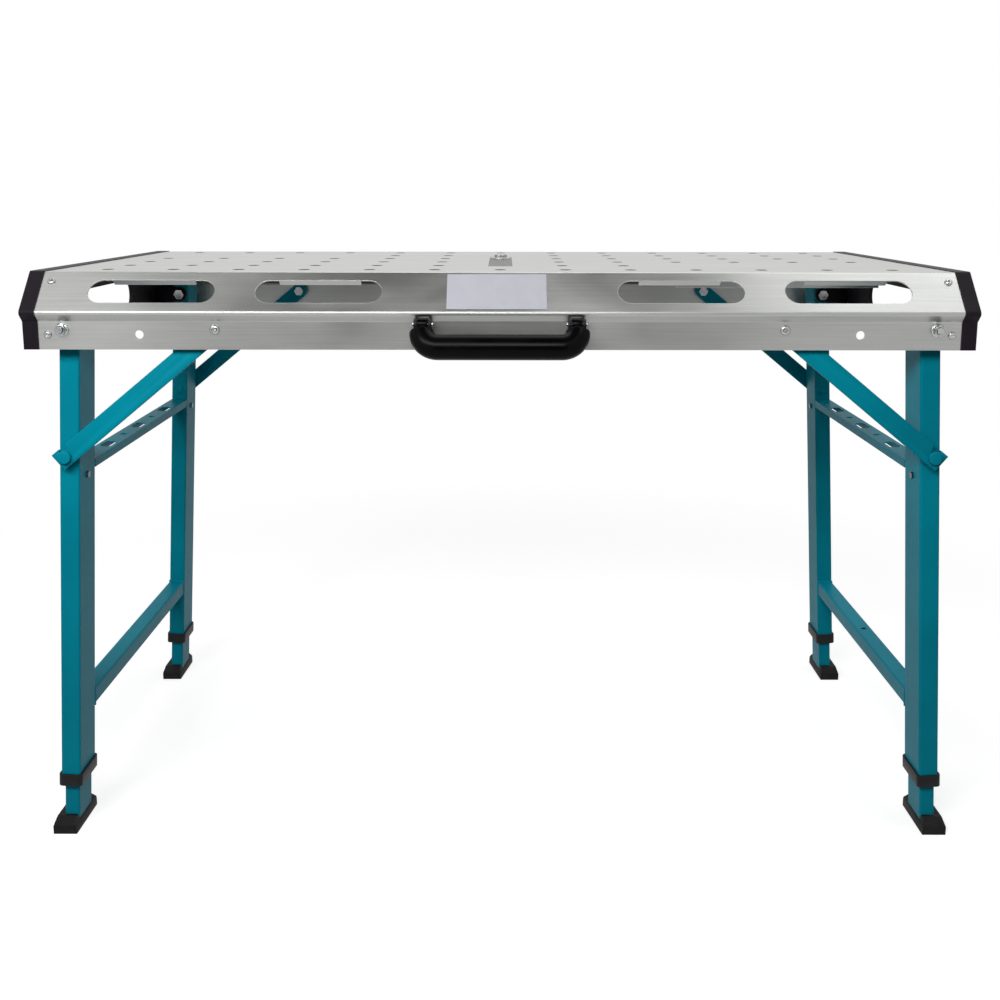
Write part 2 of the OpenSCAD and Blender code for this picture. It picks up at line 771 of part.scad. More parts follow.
module slide_shoe(side, end) {
    shoe_w = leg_w - 2 * leg_wall - 2 * slide_gap;
    shoe_d = leg_d - 2 * leg_wall - 2 * slide_gap;
    color(black) at_corner(side, end) on_right_leg() translate([0, -leg_y, -shoe_top - shoe_l]) difference() {
        linear_extrude(shoe_l) round_rect(shoe_w, shoe_d, leg_r);
        translate([0, 0, -shoe_cap]) linear_extrude(shoe_l) inner_leg_outline();
    }
}

// A moulded foot, level on the floor, with a pocket for the sloping inner leg
module foot(side, end) {
    foot_x = pivot_x + pivot_z * tan(splay) + foot_out;
    half_w = foot_w / 2;
    half_l = foot_l / 2;
    color(black) at_corner(side, end) difference() {
        translate([foot_x, -leg_y, 0]) intersection() {
            along_x(-half_w, half_w) polygon([
                [-half_l, 0], [half_l, 0], [half_l, foot_toe], [half_l - foot_toe_in, foot_h],
                [foot_toe_in - half_l, foot_h], [-half_l, foot_toe],
            ]);
            translate([0, half_l, 0]) rotate([90, 0, 0]) linear_extrude(foot_l) polygon([
                [-half_w, 0], [half_w, 0], [half_w, sole_edge], [half_w - foot_top_in, foot_h],
                [foot_top_in - half_w, foot_h], [-half_w, sole_edge],
            ]);
        }
        on_right_leg() translate([0, -leg_y, -inner_end]) linear_extrude(2 * foot_h) inner_leg_outline();
    }
}

// Carrying handle: a bail on two clevis brackets under the front ridge

module at_hinge(side) {
    seated() translate([side * handle_span / 2, -skirt_y - hinge_out, table_h - hinge_drop]) children();
}

module rod_x(d, l) {
    rotate([0, 90, 0]) cylinder(d = d, h = l, center = true);
}

module handle_brackets() {
    base_w = lug_w + 2 * cheek_gap + 2 * cheek_t;
    color(black) for (side = [-1, 1]) at_hinge(side) difference() {
        union() {
            for (cheek = [-1, 1])
                along_x(cheek * (base_w - cheek_t) / 2 - cheek_t / 2, cheek * (base_w - cheek_t) / 2 + cheek_t / 2) {
                    circle(r = cheek_r);
                    polygon([[0, cheek_r], [hinge_out, 0], [hinge_out, -cheek_low], [0, -cheek_r]]);
                }
            translate([-base_w / 2, hinge_out - bracket_base_t, -cheek_low])
                cube([base_w, bracket_base_t, cheek_low]);
        }
        rod_x(hinge_pin_d + 2 * fit_gap, 2 * base_w);
        for (drop = bracket_screw_drops) translate([0, 0, -drop])
            rod_y(bracket_screw_d + 2 * fit_gap, hinge_out - 2 * bracket_base_t, hinge_out + past);
    }
}

module handle_hinge_pins() {
    color(zinc) for (side = [-1, 1]) at_hinge(side) rod_x(hinge_pin_d, lug_w + 2 * cheek_gap + 3 * cheek_t);
}

module handle_bracket_screws() {
    color(zinc) for (side = [-1, 1], drop = bracket_screw_drops) at_hinge(side) translate([0, 0, -drop]) {
        rod_y(bracket_screw_d, hinge_out - bracket_base_t, hinge_out + sheet_t + past);
        rod_y(bracket_screw_head_d, hinge_out + sheet_t, hinge_out + sheet_t + bracket_screw_head_t);
    }
}

module carry_handle() {
    neck_d = lug_w - 2 * cheek_gap;
    neck_l = cheek_r + 3 * cheek_gap;
    arm_end = handle_reach - handle_bend;
    color(black) seated() translate([0, -skirt_y - hinge_out, table_h - hinge_drop])
        rotate([-handle_lean, 0, 0]) difference() {
            union() {
                translate([0, 0, -handle_reach]) rod_x(handle_d, handle_span - 2 * handle_bend);
                for (side = [-1, 1]) mirror([side < 0 ? 1 : 0, 0, 0]) {
                    translate([handle_span / 2, 0, 0]) {
                        rod_x(2 * lug_r, lug_w);
                        translate([0, 0, -neck_l]) cylinder(d = neck_d, h = neck_l);
                        translate([0, 0, -arm_end]) cylinder(d1 = handle_d, d2 = neck_d, h = arm_end - neck_l);
                    }
                    translate([handle_span / 2 - handle_bend, 0, -arm_end]) rotate([-90, 0, 0])
                        rotate_extrude(angle = 90) translate([handle_bend, 0]) circle(d = handle_d);
                }
            }
            rod_x(hinge_pin_d + 2 * run_gap, 2 * handle_span);
        }
}

deck_sheet();
end_cap(-1);  // left_end_cap
end_cap(1);  // right_end_cap
cap_screws();
label_plate();
earth_bar();
earth_bolt();
earth_nut();
guide_channel(-1);  // left_guide_channel
guide_channel(1);  // right_guide_channel
leg_pivot_bolts();
leg_pivot_nuts();
leg_pivot_spacers();
brace_pivot_screws();
brace_pivot_spacers();
brace_pivot_nuts();
handle_brackets();
handle_hinge_pins();
handle_bracket_screws();
leg_tube(-1, -1);  // front_left_leg_tube
leg_tube(-1, 1);  // rear_left_leg_tube
crossbar(-1);  // left_crossbar
tool_bar(-1);  // left_tool_bar
leg_collars(-1);  // left_leg_collars
brace_pins(-1);  // left_brace_pins
stop_screws(-1);  // left_stop_screws
leg_tube(1, -1);  // front_right_leg_tube
leg_tube(1, 1);  // rear_right_leg_tube
crossbar(1);  // right_crossbar
tool_bar(1);  // right_tool_bar
leg_collars(1);  // right_leg_collars
brace_pins(1);  // right_brace_pins
stop_screws(1);  // right_stop_screws
brace(-1, -1);  // front_left_brace
brace(-1, 1);  // rear_left_brace
brace(1, -1);  // front_right_brace
brace(1, 1);  // rear_right_brace
inner_leg(-1, -1);  // front_left_inner_leg
inner_leg(-1, 1);  // rear_left_inner_leg
inner_leg(1, -1);  // front_right_inner_leg
inner_leg(1, 1);  // rear_right_inner_leg
slide_shoe(-1, -1);  // front_left_slide_shoe
slide_shoe(-1, 1);  // rear_left_slide_shoe
slide_shoe(1, -1);  // front_right_slide_shoe
slide_shoe(1, 1);  // rear_right_slide_shoe
foot(-1, -1);  // front_left_foot
foot(-1, 1);  // rear_left_foot
foot(1, -1);  // front_right_foot
foot(1, 1);  // rear_right_foot
carry_handle();
guide_strip(-1);  // left_guide_strip
guide_strip(1);  // right_guide_strip
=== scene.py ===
import json
import math
import bpy
import bmesh
from mathutils import Matrix, Vector

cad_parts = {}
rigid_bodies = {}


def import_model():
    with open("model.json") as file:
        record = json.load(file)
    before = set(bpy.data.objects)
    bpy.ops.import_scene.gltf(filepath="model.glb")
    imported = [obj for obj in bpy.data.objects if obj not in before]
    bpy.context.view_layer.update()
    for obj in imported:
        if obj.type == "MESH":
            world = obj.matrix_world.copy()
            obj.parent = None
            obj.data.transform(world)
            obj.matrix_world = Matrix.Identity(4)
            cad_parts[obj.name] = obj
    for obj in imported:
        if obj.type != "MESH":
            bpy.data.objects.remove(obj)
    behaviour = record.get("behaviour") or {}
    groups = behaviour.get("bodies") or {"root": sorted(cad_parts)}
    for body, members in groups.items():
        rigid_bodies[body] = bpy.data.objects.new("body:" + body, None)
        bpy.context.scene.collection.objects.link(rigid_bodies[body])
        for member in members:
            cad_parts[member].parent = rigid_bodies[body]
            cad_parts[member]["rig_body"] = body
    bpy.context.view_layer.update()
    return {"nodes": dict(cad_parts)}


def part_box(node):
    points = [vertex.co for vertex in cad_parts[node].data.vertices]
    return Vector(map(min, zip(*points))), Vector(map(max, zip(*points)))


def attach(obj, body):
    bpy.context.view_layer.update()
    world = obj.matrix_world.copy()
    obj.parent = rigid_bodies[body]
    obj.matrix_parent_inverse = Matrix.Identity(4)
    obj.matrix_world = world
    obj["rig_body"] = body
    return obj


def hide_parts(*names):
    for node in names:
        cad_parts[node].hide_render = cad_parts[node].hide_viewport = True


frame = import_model()
nodes = frame["nodes"]

# The table top: one zinc-coated steel sheet, laser cut, with its front and rear
# folded down as a slope, a narrow step and a skirt. Faint rolling lines run
# along it, and its bends are rounded in the shading and carry a painted highlight.
top_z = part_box("deck_sheet")[1].z
middle_y = 0.0209345  # the middle of the top, behind that of the whole box, as the handle reaches forward


def put(tree, kind, wires=None, **settings):
    """Adds one node to a tree, sets its options and fills or joins its sockets."""
    node = tree.nodes.new(kind)
    for option, value in settings.items():
        setattr(node, option, value)
    for socket, value in (wires or {}).items():
        if isinstance(value, bpy.types.NodeSocket):
            tree.links.new(value, node.inputs[socket])
        else:
            node.inputs[socket].default_value = value
    return node


def new_finish(name, metal, specular=0.5):
    """Starts a finish that reads its place from the piece itself."""
    finish = bpy.data.materials.new(name)
    finish.use_nodes = True
    tree = finish.node_tree
    shader = tree.nodes["Principled BSDF"]
    shader.inputs["Metallic"].default_value = metal
    shader.inputs["Specular IOR Level"].default_value = specular
    return finish, tree, shader, put(tree, "ShaderNodeTexCoord").outputs["Object"]


def mottle(tree, place, scale, stretch=(1, 1, 1), detail=3.0):
    """Noise that is scale units fine in a metre, finer again along each axis by stretch."""
    spot = put(tree, "ShaderNodeMapping", {"Vector": place, "Scale": stretch}).outputs[0]
    return put(tree, "ShaderNodeTexNoise", {"Vector": spot, "Scale": scale, "Detail": detail}).outputs[0]


def between(tree, source, low, high, start=0.35, stop=0.65):
    """Turns a pattern into a tone between low and high."""
    ramp = put(tree, "ShaderNodeValToRGB", {"Fac": source})
    for element, spot, tone in zip(ramp.color_ramp.elements, (start, stop), (low, high)):
        element.position = spot
        element.color = (*tone, 1) if isinstance(tone, tuple) else (tone, tone, tone, 1)
    return ramp.outputs["Color"]


def edge_wear_and_painted_highlight(tree, radius):
    """The rounded-over surface direction, and a mask that is 1 on the outer edges, for edge wear and a
    painted highlight.
    """
    rounded = put(tree, "ShaderNodeBevel", {"Radius": radius}, samples=4).outputs[0]
    flat = put(tree, "ShaderNodeNewGeometry").outputs["Normal"]
    same = put(tree, "ShaderNodeVectorMath", {0: rounded, 1: flat}, operation="DOT_PRODUCT")
    mask = put(tree, "ShaderNodeMapRange", {"Value": same.outputs["Value"], "From Min": 0.99,
                                            "From Max": 0.85, "To Min": 0.0, "To Max": 1.0})
    return rounded, mask.outputs[0]


def blend_tone(tree, amount, low, high):
    """Mixes two tones by a mask."""
    mix = put(tree, "ShaderNodeMix", data_type="RGBA")
    for socket, value in ((0, amount), (6, low), (7, high)):
        if isinstance(value, bpy.types.NodeSocket):
            tree.links.new(value, mix.inputs[socket])
        else:
            mix.inputs[socket].default_value = (*value, 1) if isinstance(value, tuple) else value
    return mix.outputs[2]


def surface(tree, shader, tone, edge, edge_tone, rough, relief, strength, depth=0.0002):
    """Gives a finish its tone, an edge tone that is mostly a painted highlight, its roughness and a fine
    relief.
    """
    rounded, mask = edge_wear_and_painted_highlight(tree, edge)
    tree.links.new(blend_tone(tree, mask, tone, edge_tone), shader.inputs["Base Color"])
    tree.links.new(rough, shader.inputs["Roughness"])
    bump = put(tree, "ShaderNodeBump", {"Strength": strength, "Distance": depth, "Height": relief,
                                        "Normal": rounded})
    tree.links.new(bump.outputs[0], shader.inputs["Normal"])


def sheet_finish(name, dark, light, along, grain, edge, metal=1.0, gloss=(0.3, 0.42)):
    """Rolled sheet steel: lines along one axis over soft clouds, with a painted highlight on its edges."""
    finish, tree, shader, place = new_finish(name, metal)
    lines = mottle(tree, place, grain, along, 4.0)
    clouds = mottle(tree, place, 5.0, (1, 2, 2), 5.0)
    both = put(tree, "ShaderNodeMath", {0: lines, 1: clouds}, operation="ADD").outputs[0]
    halved = put(tree, "ShaderNodeMath", {0: both, 1: 0.5}, operation="MULTIPLY").outputs[0]
    # The edge tone is a painted highlight, a third brighter than the lightest tone.
    bright = tuple(min(1.0, c * 1.35) for c in light)
    surface(tree, shader, between(tree, halved, dark, light, 0.38, 0.62), edge, bright,
            rough=between(tree, clouds, *gloss), relief=lines, strength=0.12)
    return finish


def coat(finish, *names):
    """Gives frame nodes a finish."""
    for name in names:
        if not nodes[name].material_slots:
            nodes[name].data.materials.append(finish)
        for place in nodes[name].material_slots:
            place.material = finish


top_sheet = sheet_finish("top_sheet", (0.36, 0.365, 0.355), (0.43, 0.435, 0.42), (0.012, 1, 1), 520.0,
                         edge=0.0008)
coat(top_sheet, "deck_sheet")

# The clamp holes are cut by laser. A thin lining, dark and dull, covers the wall
# of each hole. The pattern leaves out the places of the earth bar and of the two
# guide edges.
pitch = 0.086
hole_r = 0.008
lining_depth = 0.0019
hole_places = [(column, row) for column in range(-6, 7) for row in range(6)
               if not (column == 0 and 0 < row < 5) and not (row == 4 and column < -2)
               and not (row == 1 and column > 2)]


def new_tree(name, *sizes):
    """Starts a geometry tree with named inputs."""
    tree = bpy.data.node_groups.new(name, "GeometryNodeTree")
    tree.interface.new_socket("Geometry", in_out="OUTPUT", socket_type="NodeSocketGeometry")
    tree.interface.new_socket("Geometry", in_out="INPUT", socket_type="NodeSocketGeometry")
    for label, kind in sizes:
        tree.interface.new_socket(label, in_out="INPUT", socket_type="NodeSocket" + kind)
    return tree, put(tree, "NodeGroupInput").outputs, put(tree, "NodeGroupOutput").inputs


def grown(name, tree, start, **sizes):
    """Runs a tree on a start mesh and keeps what comes out as a plain mesh."""
    piece = bpy.data.objects.new(name, start)
    bpy.context.scene.collection.objects.link(piece)
    maker = piece.modifiers.new(name, "NODES")
    maker.node_group = tree
    for item in tree.interface.items_tree:
        if item.in_out == "INPUT" and item.name in sizes:
            maker[item.identifier] = sizes[item.name]
    bpy.context.view_layer.update()
    made = piece.evaluated_get(bpy.context.evaluated_depsgraph_get())
    mesh = bpy.data.meshes.new_from_object(made)
    piece.modifiers.remove(maker)
    piece.data = mesh
    return piece


def smooth(mesh, angle=35):
    """Rounds the shading of a mesh, apart from its real edges."""
    mesh.polygons.foreach_set("use_smooth", [True] * len(mesh.polygons))
    mesh.set_sharp_from_angle(angle=math.radians(angle))


ring_tree, ring_in, ring_out = new_tree("hole_linings", ("radius", "Float"), ("wall", "Float"),
                                        ("depth", "Float"), ("finish", "Material"))
ring_path = put(ring_tree, "GeometryNodeCurvePrimitiveCircle",
                {"Resolution": 48, "Radius": ring_in["radius"]})
ring_rim = put(ring_tree, "GeometryNodeCurvePrimitiveQuadrilateral",
               {"Width": ring_in["wall"], "Height": ring_in["depth"]})
ring = put(ring_tree, "GeometryNodeCurveToMesh", {"Curve": ring_path.outputs[0],
                                                  "Profile Curve": ring_rim.outputs[0]})
rings = put(ring_tree, "GeometryNodeInstanceOnPoints", {"Points": ring_in["Geometry"],
                                                        "Instance": ring.outputs[0]})
rings = put(ring_tree, "GeometryNodeRealizeInstances", {"Geometry": rings.outputs[0]})
rings = put(ring_tree, "GeometryNodeSetMaterial",
            {"Geometry": rings.outputs[0], "Material": ring_in["finish"]})
ring_tree.links.new(rings.outputs[0], ring_out[0])

hole_mesh = bpy.data.meshes.new("hole_places")
hole_mesh.from_pydata([(column * pitch, (row - 2.5) * pitch + middle_y, top_z - lining_depth / 2)
                       for column, row in hole_places], [], [])
cut_wall = sheet_finish("cut_wall", (0.035, 0.034, 0.033), (0.08, 0.078, 0.075), (1, 1, 0.1), 900.0,
                        edge=0.0002)
hole_walls = grown("clamp_hole_walls", ring_tree, hole_mesh, radius=hole_r - 0.0001, wall=0.0005,
                   depth=lining_depth, finish=cut_wall)
smooth(hole_walls.data, 60)
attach(hole_walls, "table_body")

# The end caps: black moulded plastic with a fine grain and a hand opening. They
# slide over the ends of the folded sheet and are held by screws.
cap_black, tree, shader, place = new_finish("cap_plastic", 0.0, specular=0.1)
grain = mottle(tree, place, 1700.0, detail=2.0)
tone = between(tree, mottle(tree, place, 14.0), (0.008, 0.006, 0.009), (0.014, 0.010, 0.015))
# Its edges take a lighter tone, a painted highlight.
surface(tree, shader, tone, edge=0.0012, edge_tone=(0.05, 0.044, 0.052),
        rough=between(tree, grain, 0.42, 0.6), relief=grain, strength=0.25)
coat(cap_black, "left_end_cap", "right_end_cap")

# The fasteners: bright zinc-plated steel. Pan-head screws with a socket hold the
# caps, flange nuts close the leg pivots, and cross-head screws carry the braces.
bright_zinc, tree, shader, place = new_finish("bright_zinc", 1.0)
patches = mottle(tree, place, 160.0, detail=4.0)
tone = between(tree, patches, (0.30, 0.32, 0.34), (0.46, 0.46, 0.45))
# Their edges take a much lighter tone, a painted highlight.
surface(tree, shader, tone, edge=0.0004, edge_tone=(0.72, 0.73, 0.73),
        rough=between(tree, patches, 0.14, 0.26), relief=patches, strength=0.1, depth=0.0001)
coat(bright_zinc, "leg_pivot_bolts", "leg_pivot_spacers", "brace_pivot_spacers", "brace_pivot_nuts",
     "handle_hinge_pins", "handle_bracket_screws", "earth_nut",
     "cap_screws", "leg_pivot_nuts", "brace_pivot_screws", "earth_bolt")
chamfer_fall = 0.577  # a chamfer of 30 degrees falls this much for each unit of reach


def hexagon(across):
    """The reach of a hexagon from its middle, for each direction."""
    return lambda turn: across / 2 / math.cos((turn % (math.pi / 3)) - math.pi / 6)


def crown(across, face, top):
    """The height of a hexagon's rim, which a chamfer lowers towards its corners."""
    return lambda turn: top - max(0.0, hexagon(across)(turn) - face) * chamfer_fall


def cross(length, width):
    """The reach of a cross from its middle, for each direction."""
    return lambda turn: min(length / 2,
                            width / 2 / max(1e-6, min(abs(math.sin(turn)), abs(math.cos(turn)))))


def turned(name, rings, steps=48):
    """A turned part from rings of (reach, height), from the middle below to the middle above."""
    form = bmesh.new()
    turns = [2 * math.pi * (i + 0.5) / steps for i in range(steps)]
    loops = []
    for reach, height in rings:
        if reach == 0:
            loops.append([form.verts.new((0, 0, height))])
            continue
        size = reach if callable(reach) else lambda turn, reach=reach: reach
        tall = height if callable(height) else lambda turn, height=height: height
        loops.append([form.verts.new((size(turn) * math.cos(turn), size(turn) * math.sin(turn), tall(turn)))
                      for turn in turns])
    for low, high in zip(loops, loops[1:]):
        for i in range(steps):
            corners = (low[i % len(low)], low[(i + 1) % len(low)],
                       high[(i + 1) % len(high)], high[i % len(high)])
            form.faces.new(list(dict.fromkeys(corners)))
    bmesh.ops.recalc_face_normals(form, faces=form.faces)
    mesh = bpy.data.meshes.new(name)
    form.to_mesh(mesh)
    form.free()
    smooth(mesh)
    sample = bpy.data.objects.new(name, mesh)
    bpy.context.scene.collection.objects.link(sample)
    return sample


set_tree, set_in, set_out = new_tree("fasteners_in_place", ("fastener", "Object"), ("finish", "Material"))
facing = put(set_tree, "GeometryNodeInputNamedAttribute", {"Name": "facing"},
             data_type="FLOAT_VECTOR")
spin = put(set_tree, "GeometryNodeInputNamedAttribute", {"Name": "spin"}, data_type="FLOAT")
aimed = put(set_tree, "FunctionNodeAlignRotationToVector", {"Vector": facing.outputs[0]}, axis="Z")
twist = put(set_tree, "FunctionNodeAxisAngleToRotation", {"Axis": (0, 0, 1), "Angle": spin.outputs[0]})
turn_to = put(set_tree, "FunctionNodeRotateRotation",
              {"Rotation": aimed.outputs[0], "Rotate By": twist.outputs[0]}, rotation_space="LOCAL")
sample = put(set_tree, "GeometryNodeObjectInfo", {"Object": set_in["fastener"]})
placed = put(set_tree, "GeometryNodeInstanceOnPoints",
             {"Points": set_in["Geometry"], "Rotation": turn_to.outputs[0],
              "Instance": sample.outputs["Geometry"]})
placed = put(set_tree, "GeometryNodeRealizeInstances", {"Geometry": placed.outputs[0]})
placed = put(set_tree, "GeometryNodeSetMaterial",
             {"Geometry": placed.outputs[0], "Material": set_in["finish"]})
set_tree.links.new(placed.outputs[0], set_out[0])


def fitted(name, fastener, places, node):
    """Sets a zinc-plated fastener at each (place, facing); the set stands for a frame node."""
    mesh = bpy.data.meshes.new(name)
    mesh.from_pydata([place for place, _ in places], [], [])
    mesh.attributes.new("facing", "FLOAT_VECTOR", "POINT")
    mesh.attributes["facing"].data.foreach_set("vector", [c for _, way in places for c in way])
    mesh.attributes.new("spin", "FLOAT", "POINT")
    mesh.attributes["spin"].data.foreach_set("value", [2.4 * i for i in range(len(places))])
    piece = grown(name, set_tree, mesh, fastener=fastener, finish=bright_zinc)
    bpy.data.objects.remove(fastener)
    smooth(piece.data)
    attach(piece, nodes[node]["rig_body"])
    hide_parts(node)


skirt_y = 0.290
deck_half = 0.258
slope_run, slope_fall = 0.042, 0.049
slope_way = Vector((0, slope_fall, slope_run)).normalized()
corners = [(side, end) for side in (-1, 1) for end in (-1, 1)]
cap_screw_x = 0.569
low_screw_fall, high_screw_fall = 0.077, 0.012
high_screw_y = deck_half + high_screw_fall * slope_run / slope_fall
low_places = [((side * cap_screw_x, end * skirt_y + middle_y, top_z - low_screw_fall), (0, end, 0))
              for side, end in corners]
high_places = [((side * cap_screw_x, end * high_screw_y + middle_y, top_z - high_screw_fall),
                (0, end * slope_way.y, slope_way.z)) for side, end in corners]
socket_across = 0.0034
pan_head = turned("pan_head", [(0, -0.0070), (0.0025, -0.0070), (0.0025, 0), (0.00475, 0),
                               (0.00475, 0.0009), (0.0045, 0.0018), (0.0038, 0.0026), (0.0029, 0.0030),
                               (hexagon(socket_across), 0.0030), (hexagon(socket_across), 0.0012),
                               (0, 0.0010)])
fitted("cap_pan_screws", pan_head, low_places + high_places, "cap_screws")

pivot_x = 0.551
pivot_z = top_z - 0.0705
nut_across = 0.013
nut_face = 0.97 * nut_across / 2
nut_top = 0.0075
bolt_end = nut_top - 0.0008
flange_nut = turned("flange_nut", [(0, 0.0), (0.0085, 0), (0.0085, 0.0008), (0.0077, 0.0016),
                                   (hexagon(nut_across), 0.0020),
                                   (hexagon(nut_across), crown(nut_across, nut_face, nut_top)),
                                   (nut_face, nut_top), (0.0049, nut_top), (0.0041, bolt_end),
                                   (0, bolt_end)], steps=96)
fitted("pivot_flange_nuts", flange_nut,
       [((side * pivot_x, end * skirt_y + middle_y, pivot_z), (0, end, 0)) for side, end in corners],
       "leg_pivot_nuts")

brace_x = 0.359
cross_head = turned("cross_head", [(0, -0.021), (0.004, -0.021), (0.004, 0), (0.00625, 0),
                                   (0.00625, 0.0010), (0.0059, 0.0020), (0.0050, 0.0029),
                                   (0.0040, 0.0033), (0.0031, 0.0035), (cross(0.0058, 0.0016), 0.0035),
                                   (cross(0.0046, 0.0013), 0.0016), (0, 0.0010)], steps=96)
fitted("brace_cross_screws", cross_head,
       [((side * brace_x, end * skirt_y + middle_y, pivot_z), (0, end, 0)) for side, end in corners],
       "brace_pivot_screws")

# The front label: a blank printed film on the slope, pale with a soft sheen and
# slightly darker cut edges.
label_film, tree, shader, place = new_finish("label_film", 0.0)
fibres = mottle(tree, place, 900.0, detail=2.0)
tone = between(tree, mottle(tree, place, 60.0, detail=4.0), (0.42, 0.425, 0.47), (0.44, 0.445, 0.49))
surface(tree, shader, tone, edge=0.0004, edge_tone=(0.32, 0.32, 0.36),
        rough=between(tree, fibres, 0.34, 0.46), relief=fibres, strength=0.05, depth=0.0001)
coat(label_film, "label_plate")

# The earth bar: a plain steel strip under the middle column of holes. Its pad
# comes up flush with the top, and a bolt with a washer stands near its rear end.
earth_steel = sheet_finish("earth_steel", (0.12, 0.125, 0.12), (0.19, 0.195, 0.185), (1, 0.03, 1), 500.0,
                           edge=0.0005, metal=0.35, gloss=(0.5, 0.62))
coat(earth_steel, "earth_bar")
washer_r = 0.0155
head_across = 0.017
head_face = 0.0082
head_top = 0.0066
earth_head = turned("earth_head", [(0, -0.015), (0.0045, -0.015), (0.005, -0.0145), (0.005, 0.0),
                                   (washer_r, 0.0), (washer_r, 0.0012), (0.0151, 0.0016),
                                   (hexagon(head_across), 0.0017),
                                   (hexagon(head_across), crown(head_across, head_face, head_top)),
                                   (head_face, head_top), (0, head_top)], steps=96)
fitted("earth_stud", earth_head, [((0, 0.5 * pitch + middle_y, top_z), (0, 0, 1))], "earth_bolt")

# The guide edges: a zinc-plated strip in a folded channel under the top. Each
# strip lies level with the top and can be raised to push work against.
channel_zinc = sheet_finish("channel_zinc", (0.50, 0.51, 0.51), (0.62, 0.63, 0.62), (0.05, 1, 1), 300.0,
                            edge=0.0005)
coat(channel_zinc, "left_guide_channel", "right_guide_channel")
strip_zinc = sheet_finish("strip_zinc", (0.46, 0.47, 0.46), (0.60, 0.61, 0.60), (0.02, 1, 1), 700.0,
                          edge=0.0005)
coat(strip_zinc, "left_guide_strip", "right_guide_strip")

# The leg frames: square-edged steel tubes, a lower crossbar and a slotted tool
# bar, welded and then powder coated teal. The coat has a fine orange-peel skin.
teal_coat, tree, shader, place = new_finish("teal_coat", 0.0, specular=0.07)
peel = mottle(tree, place, 620.0, detail=2.0)
tone = between(tree, mottle(tree, place, 9.0, detail=5.0), (0.0, 0.235, 0.325), (0.0, 0.275, 0.375))
# Its edges are lighter teal: partly wear of the coat, partly a painted highlight.
surface(tree, shader, tone, edge=0.0010, edge_tone=(0.01, 0.35, 0.43),
        rough=between(tree, peel, 0.36, 0.48), relief=peel, strength=0.16)
for side in ("left", "right"):
    coat(teal_coat, side + "_crossbar", side + "_tool_bar", side + "_brace_pins")
    for end in ("front", "rear"):
        coat(teal_coat, f"{end}_{side}_leg_tube", f"{end}_{side}_inner_leg", f"{end}_{side}_brace")

# The stop screws that keep the inner legs in their tubes: dull steel, darkened by
# the coat.
dull_steel = sheet_finish("dull_steel", (0.06, 0.075, 0.08), (0.14, 0.16, 0.165), (1, 1, 1), 400.0,
                          edge=0.0004)
coat(dull_steel, "left_stop_screws", "right_stop_screws")

# The welds round the ends of each crossbar: overlapping drops laid by hand, then
# coated with the frame. They follow the bar's square outline on the leg tubes.
splay = math.radians(3.4)
bar_drop = 0.5285
bar_down = bar_drop / math.cos(splay)
bar_half = 0.0125
tube_face_y = 0.2115
bead_tree, bead_in, bead_out = new_tree("weld_beads", ("drop", "Float"), ("step", "Float"),
                                        ("finish", "Material"))
run = put(bead_tree, "GeometryNodeMeshToCurve", {"Mesh": bead_in["Geometry"]})
spots = put(bead_tree, "GeometryNodeCurveToPoints",
            {"Curve": run.outputs[0], "Length": bead_in["step"]}, mode="LENGTH")
drop = put(bead_tree, "GeometryNodeMeshIcoSphere", {"Radius": bead_in["drop"], "Subdivisions": 2})
beads = put(bead_tree, "GeometryNodeInstanceOnPoints",
            {"Points": spots.outputs["Points"], "Instance": drop.outputs[0],
             "Rotation": spots.outputs["Rotation"], "Scale": (1.0, 1.0, 0.7)})
beads = put(bead_tree, "GeometryNodeRealizeInstances", {"Geometry": beads.outputs[0]})
beads = put(bead_tree, "GeometryNodeSetMaterial",
            {"Geometry": beads.outputs[0], "Material": bead_in["finish"]})
bead_tree.links.new(beads.outputs[0], bead_out[0])
for side, sign in (("left", -1), ("right", 1)):
    points, edges = [], []
    for end in (-1, 1):
        start = len(points)
        for across, along in ((-1, -1), (1, -1), (1, 1), (-1, 1)):
            out, down = across * bar_half, bar_down + along * bar_half
            points.append((sign * (pivot_x + out * math.cos(splay) + down * math.sin(splay)),
                           end * tube_face_y + middle_y,
                           pivot_z + out * math.sin(splay) - down * math.cos(splay)))
        edges += [(start + i, start + (i + 1) % 4) for i in range(4)]
    path = bpy.data.meshes.new(side + "_weld_path")
    path.from_pydata(points, edges, [])
    welds = grown(side + "_crossbar_welds", bead_tree, path, drop=0.0015, step=0.0012, finish=teal_coat)
    smooth(welds.data, 60)
    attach(welds, side + "_leg_frame")

# The braces: flat teal bars with their edges broken by the coat. Each turns on a
# screw in the skirt and drops over a pin on its leg.


def softened(node, name, finish, width, steps=2):
    """Makes a copy of a frame node with its edges rounded over, which stands for the node."""
    form = bmesh.new()
    form.from_mesh(nodes[node].data)
    bmesh.ops.remove_doubles(form, verts=form.verts, dist=1e-6)
    bmesh.ops.dissolve_limit(form, angle_limit=math.radians(0.5), verts=form.verts, edges=form.edges)
    bmesh.ops.recalc_face_normals(form, faces=form.faces)
    mesh = bpy.data.meshes.new(name)
    form.to_mesh(mesh)
    form.free()
    piece = bpy.data.objects.new(name, mesh)
    bpy.context.scene.collection.objects.link(piece)
    edge = piece.modifiers.new("edge", "BEVEL")
    edge.width, edge.segments, edge.limit_method, edge.angle_limit = width, steps, "ANGLE", math.radians(40)
    bpy.context.view_layer.update()
    made = bpy.data.meshes.new_from_object(piece.evaluated_get(bpy.context.evaluated_depsgraph_get()))
    piece.modifiers.remove(edge)
    piece.data = made
    made.materials.clear()
    made.materials.append(finish)
    smooth(made, 40)
    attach(piece, nodes[node]["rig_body"])
    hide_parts(node)


for side in ("left", "right"):
    for end in ("front", "rear"):
        softened(f"{end}_{side}_brace", f"{end}_{side}_flat_brace", teal_coat, 0.0006)
    softened(side + "_brace_pins", side + "_shouldered_pins", teal_coat, 0.0008, steps=3)

